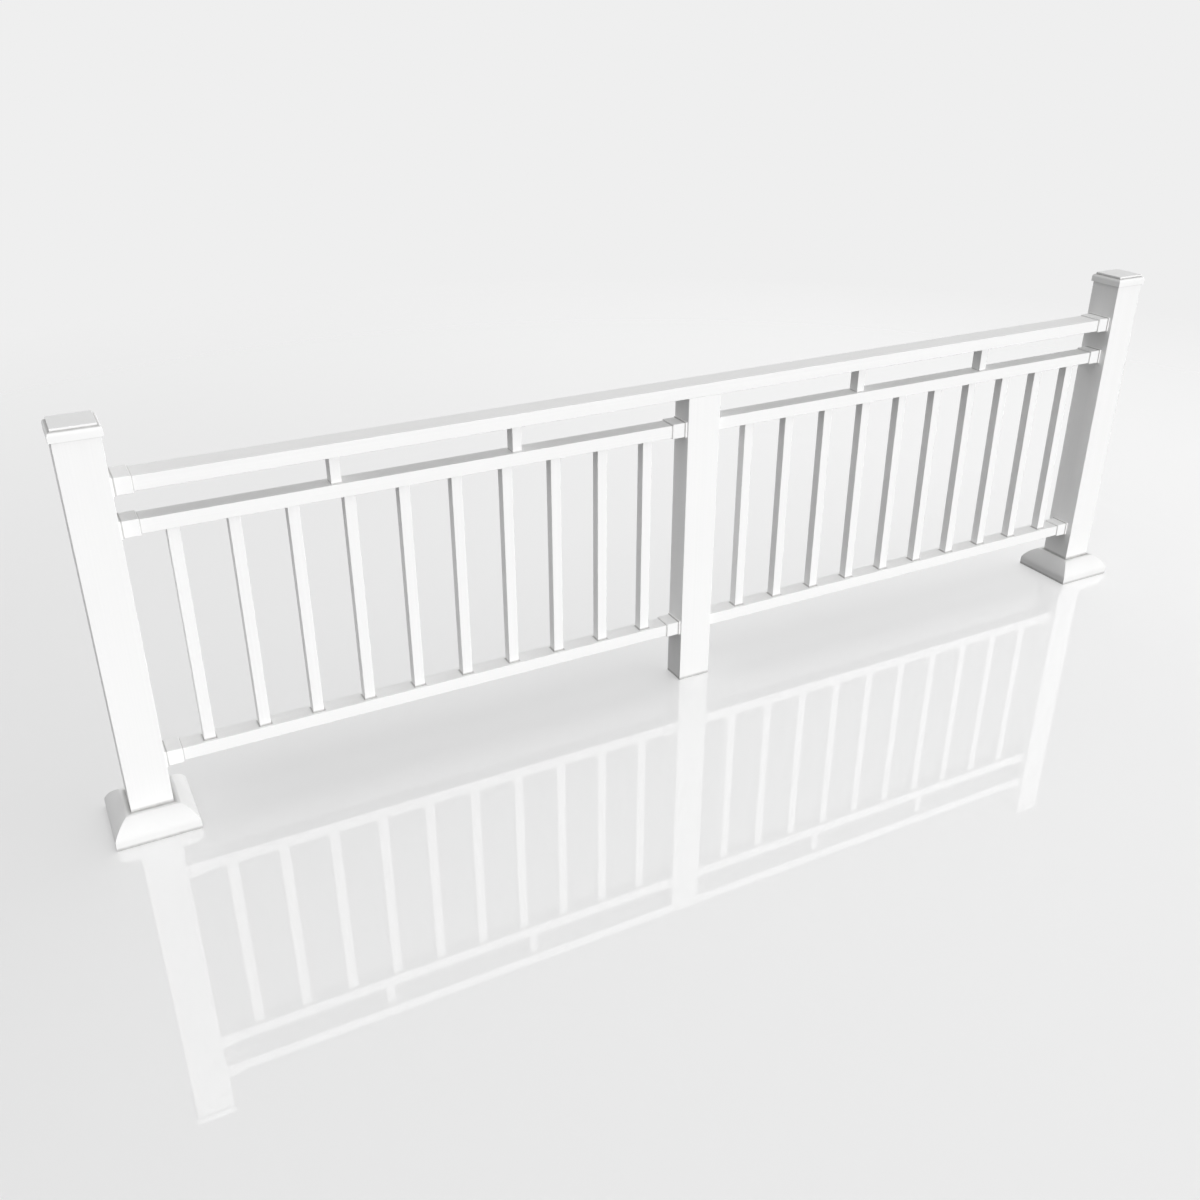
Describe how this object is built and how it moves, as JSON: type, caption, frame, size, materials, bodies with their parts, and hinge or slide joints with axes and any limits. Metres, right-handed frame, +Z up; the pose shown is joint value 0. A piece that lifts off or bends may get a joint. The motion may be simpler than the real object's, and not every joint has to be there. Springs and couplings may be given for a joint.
{
  "type": "composite railing section",
  "caption": "Straight railing with square balusters between hollow rails, capped end posts on base skirts and a plain middle post under one long top rail.",
  "frame": {"origin": "on the floor, at the centre of the middle post's foot", "axes": "+X along the railing, -Y its front, +Z up"},
  "size_m": [3.3528, 0.2032, 1.0485],
  "materials": {
    "post": "smooth white satin composite",
    "cap": "smooth white satin composite",
    "skirt": "smooth white satin composite",
    "rail": "smooth white satin composite",
    "bracket": "smooth white satin composite",
    "baluster": "smooth white satin composite",
    "block": "smooth white satin composite"
  },
  "bodies": {
    "root": {"left_baluster_01": "baluster", "left_baluster_02": "baluster", "left_baluster_03": "baluster", "left_baluster_04": "baluster", "left_baluster_05": "baluster", "left_baluster_06": "baluster", "left_baluster_07": "baluster", "left_baluster_08": "baluster", "left_baluster_09": "baluster", "left_baluster_10": "baluster", "left_bottom_rail": "rail", "left_bottom_rail_inner_bracket": "bracket", "left_bottom_rail_outer_bracket": "bracket", "left_mid_rail": "rail", "left_mid_rail_inner_bracket": "bracket", "left_mid_rail_outer_bracket": "bracket", "left_post_cap": "cap", "left_post_skirt": "skirt", "left_post_sleeve": "post", "left_spacer_block_1": "block", "left_spacer_block_2": "block", "middle_post": "post", "right_baluster_01": "baluster", "right_baluster_02": "baluster", "right_baluster_03": "baluster", "right_baluster_04": "baluster", "right_baluster_05": "baluster", "right_baluster_06": "baluster", "right_baluster_07": "baluster", "right_baluster_08": "baluster", "right_baluster_09": "baluster", "right_baluster_10": "baluster", "right_bottom_rail": "rail", "right_bottom_rail_outer_bracket": "bracket", "right_mid_rail": "rail", "right_mid_rail_outer_bracket": "bracket", "right_post_cap": "cap", "right_post_skirt": "skirt", "right_post_sleeve": "post", "right_spacer_block_1": "block", "right_spacer_block_2": "block", "top_rail": "rail", "top_rail_left_bracket": "bracket", "top_rail_right_bracket": "bracket"}
  },
  "joints": []
}
